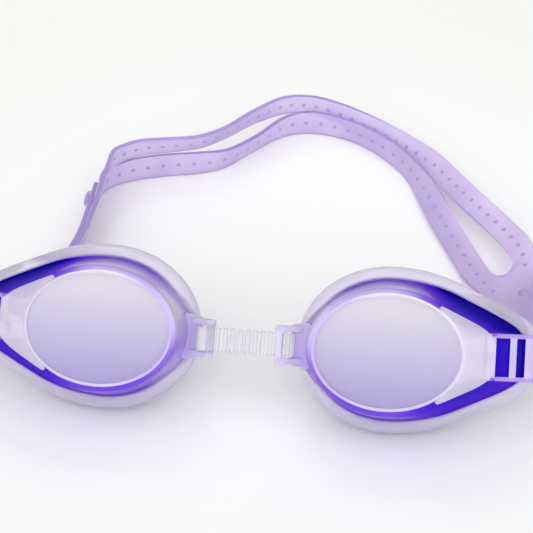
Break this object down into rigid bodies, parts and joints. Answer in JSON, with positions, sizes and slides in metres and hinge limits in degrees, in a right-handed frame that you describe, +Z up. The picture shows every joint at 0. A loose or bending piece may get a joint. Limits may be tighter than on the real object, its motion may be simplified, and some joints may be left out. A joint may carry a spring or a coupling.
{
  "type": "swimming goggles",
  "caption": "Tinted eyecups on an adjustable ribbed nose strip, with soft face seals, a split silicone strap folded round the buckles, and removable lens films.",
  "frame": {"origin": "middle of the bounding box at the table surface", "axes": "+X from the left cup to the right cup as the viewer sees them, +Y from the lenses back into the strap's loop, +Z up from the table"},
  "size_m": [0.1802, 0.1534, 0.0419],
  "materials": {
    "tinted_cup": "clear polycarbonate tinted violet, polished",
    "clear_seal": "clear soft silicone, satin",
    "clear_strip": "clear flexible plastic, satin",
    "silicone_strap": "translucent pale lavender silicone, matt",
    "lens_film": "thin frosted protective film"
  },
  "bodies": {
    "left_cup": {"left_eyecup": "tinted_cup", "left_gasket": "clear_seal", "nose_bridge": "clear_strip", "strap": "silicone_strap"},
    "right_cup": {"right_eyecup": "tinted_cup", "right_gasket": "clear_seal"},
    "left_film": {"left_film": "lens_film"},
    "right_film": {"right_film": "lens_film"}
  },
  "joints": [
    {"name": "nose_width", "type": "slide", "parent": "left_cup", "child": "right_cup", "axis": [1, 0, 0], "range_m": [-0.0019, 0.0019], "deforming": ["strap"]},
    {"name": "left_film_lift", "type": "slide", "parent": "left_cup", "child": "left_film", "axis": [0, 0.788, -0.6157], "range_m": [0, 0.022]},
    {"name": "right_film_lift", "type": "slide", "parent": "right_cup", "child": "right_film", "axis": [0, 0.788, -0.6157], "range_m": [0, 0.022]}
  ]
}
